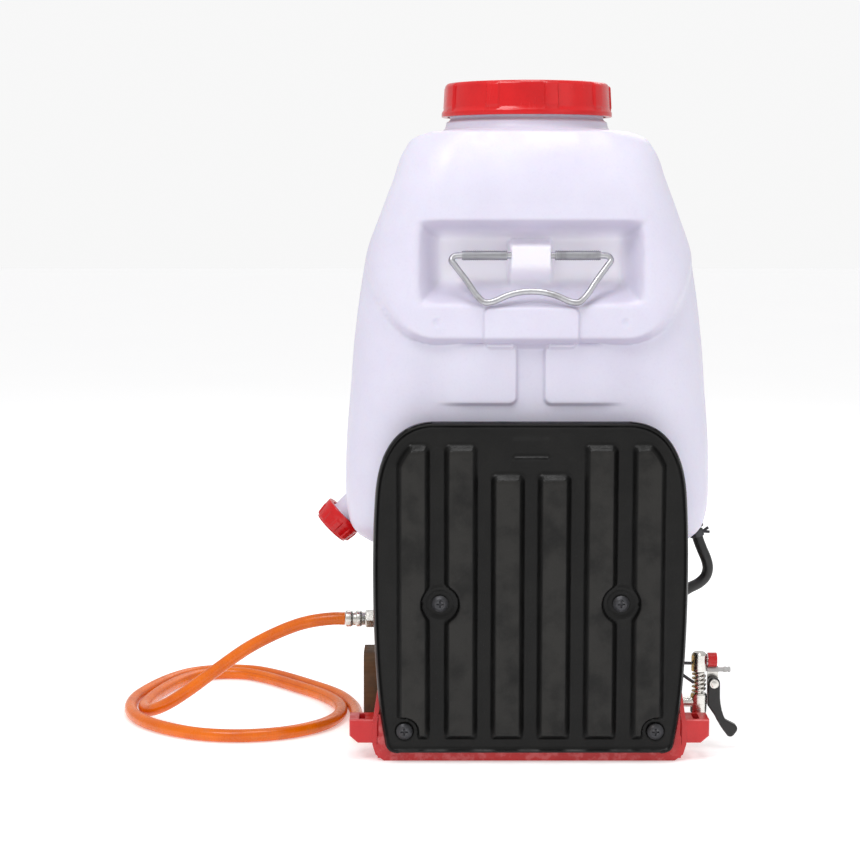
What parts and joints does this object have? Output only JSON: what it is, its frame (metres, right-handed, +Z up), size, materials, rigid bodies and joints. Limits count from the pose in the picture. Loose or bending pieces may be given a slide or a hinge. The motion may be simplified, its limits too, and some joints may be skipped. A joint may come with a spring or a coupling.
{
  "type": "backpack sprayer",
  "caption": "Engine-driven backpack sprayer: moulded tank with screw filler and drain caps, ribbed backrest, red tray with pump and engine, orange spray hose.",
  "frame": {"origin": "on the floor under the filler neck, at the middle of the tray's underside width", "axes": "+Z up, -Y towards the wearer's back, +X to the right as seen from the wearer's side"},
  "size_m": [0.6236, 0.3672, 0.6495],
  "materials": {
    "tank_plastic": "translucent natural blow-moulded polyethylene",
    "fuel_plastic": "translucent natural polyethylene",
    "red_plastic": "glossy moulded",
    "black_plastic": "satin moulded",
    "rubber": "smooth",
    "bright_steel": "zinc plated",
    "dark_steel": "black coated",
    "aluminium": "as cast",
    "brass": "as machined",
    "nickel": "nickel plated",
    "hose_orange": "flexible extruded",
    "heat_brown": "heat stained",
    "grey_plastic": "moulded",
    "sleeve_grey": "shrunk sleeve"
  },
  "bodies": {
    "carrier": {"tank": "tank_plastic", "filler_strainer": "grey_plastic", "tank_outlet": "black_plastic", "suction_hose": "rubber", "hose_clip_upper": "dark_steel", "hose_clip_lower": "dark_steel", "backrest_plate": "black_plastic", "plate_screw_1": "dark_steel", "plate_screw_2": "dark_steel", "plate_screw_3": "dark_steel", "plate_screw_4": "dark_steel", "base_tray": "red_plastic", "carrier_upright_left": "dark_steel", "carrier_upright_right": "dark_steel", "tank_shelf": "dark_steel", "rubber_mount_1": "rubber", "rubber_mount_2": "rubber", "rubber_mount_3": "rubber", "rubber_mount_4": "rubber", "engine_bed": "bright_steel", "crankcase": "aluminium", "cylinder": "aluminium", "cylinder_cowl": "black_plastic", "spark_plug": "nickel", "plug_boot": "rubber", "muffler": "heat_brown", "carburettor": "aluminium", "air_filter_cover": "black_plastic", "fan_housing": "red_plastic", "recoil_cover": "black_plastic", "fuel_tank": "fuel_plastic", "gear_case": "aluminium", "pump_body": "aluminium", "valve_block": "brass", "discharge_pipe": "brass", "hose_union": "nickel", "regulator_body": "nickel", "regulator_spring": "nickel", "bypass_spigot": "grey_plastic", "regulator_stay": "dark_steel", "spray_hose": "hose_orange", "hose_connector": "brass"},
    "filler_seal": {"filler_gasket": "rubber"},
    "filler_lid": {"filler_cap": "red_plastic"},
    "drain_seal": {"drain_gasket": "rubber"},
    "drain_lid": {"drain_cap": "red_plastic"},
    "bail": {"strap_bail": "bright_steel", "bail_sleeve_left": "sleeve_grey", "bail_sleeve_right": "sleeve_grey"},
    "fuel_lid": {"fuel_cap": "black_plastic"},
    "lever": {"relief_lever": "black_plastic"},
    "knob": {"regulator_knob": "red_plastic"},
    "starter_grip": {"recoil_handle": "black_plastic"},
    "starter_pulley": {"recoil_pulley": "black_plastic"},
    "crank": {"flywheel_fan": "aluminium"},
    "clutch": {"clutch_drum": "bright_steel"},
    "engine_piston": {"piston": "aluminium"},
    "plunger": {"pump_plunger": "nickel"},
    "choke": {"choke_lever": "black_plastic"},
    "throttle": {"throttle_arm": "bright_steel"}
  },
  "joints": [
    {"name": "filler_lift", "type": "slide", "parent": "carrier", "child": "filler_seal", "axis": [0, 0, 1], "range_m": [0, 0.018]},
    {"name": "filler_turn", "type": "hinge", "parent": "filler_seal", "child": "filler_lid", "pos_m": [0, 0, 0.63], "axis": [0, 0, 1], "range_deg": [0, 540]},
    {"name": "drain_lift", "type": "slide", "parent": "carrier", "child": "drain_seal", "axis": [-0.7071, 0, -0.7071], "range_m": [0, 0.012]},
    {"name": "drain_turn", "type": "hinge", "parent": "drain_seal", "child": "drain_lid", "pos_m": [-0.181, 0, 0.221], "axis": [-0.7071, 0, -0.7071], "range_deg": [0, 720]},
    {"name": "bail_swing", "type": "hinge", "parent": "carrier", "child": "bail", "pos_m": [0, -0.105, 0.484], "axis": [-1, 0, 0], "range_deg": [0, 95]},
    {"name": "fuel_cap_turn", "type": "hinge", "parent": "carrier", "child": "fuel_lid", "pos_m": [0.076, 0.062, 0.08], "axis": [0, 0, 1], "range_deg": [0, 360]},
    {"name": "relief_swing", "type": "hinge", "parent": "carrier", "child": "lever", "pos_m": [0.1825, -0.08, 0.066], "axis": [0, -1, 0], "range_deg": [0, 70]},
    {"name": "pressure_turn", "type": "hinge", "parent": "carrier", "child": "knob", "pos_m": [0.18, -0.08, 0.089], "axis": [1, 0, 0], "range_deg": [0, 270]},
    {"name": "recoil_pull", "type": "slide", "parent": "carrier", "child": "starter_grip", "axis": [1, 0, 0], "range_m": [0, 0.4], "stiffness_N_per_m": 12},
    {"name": "pulley_turn", "type": "hinge", "parent": "carrier", "child": "starter_pulley", "pos_m": [-0.02, 0.1, 0.066], "axis": [0, 1, 0], "range_deg": [0, 960]},
    {"name": "crank_spin", "type": "hinge", "parent": "carrier", "child": "crank", "pos_m": [-0.02, 0.05, 0.066], "axis": [0, 1, 0], "continuous": true},
    {"name": "clutch_spin", "type": "hinge", "parent": "carrier", "child": "clutch", "pos_m": [-0.02, -0.016, 0.066], "axis": [0, 1, 0], "continuous": true},
    {"name": "piston_stroke", "type": "slide", "parent": "carrier", "child": "engine_piston", "axis": [-1, 0, 0], "range_m": [0, 0.019]},
    {"name": "plunger_stroke", "type": "slide", "parent": "carrier", "child": "plunger", "axis": [1, 0, 0], "range_m": [0, 0.012]},
    {"name": "choke_turn", "type": "hinge", "parent": "carrier", "child": "choke", "pos_m": [-0.032, 0.03, 0.119], "axis": [0, 1, 0], "range_deg": [0, 35]},
    {"name": "throttle_turn", "type": "hinge", "parent": "carrier", "child": "throttle", "pos_m": [-0.032, 0.03, 0.119], "axis": [0, -1, 0], "range_deg": [0, 40], "stiffness_Nm_per_rad": 0.02}
  ],
  "couplings": [
    {"joint": "filler_lift", "follows": "filler_turn", "m_per_rad": 0.0019099},
    {"joint": "drain_lift", "follows": "drain_turn", "m_per_rad": 0.00095493},
    {"joint": "pulley_turn", "follows": "recoil_pull", "rad_per_m": 41.667},
    {"joint": "clutch_spin", "follows": "crank_spin", "ratio": 1}
  ]
}
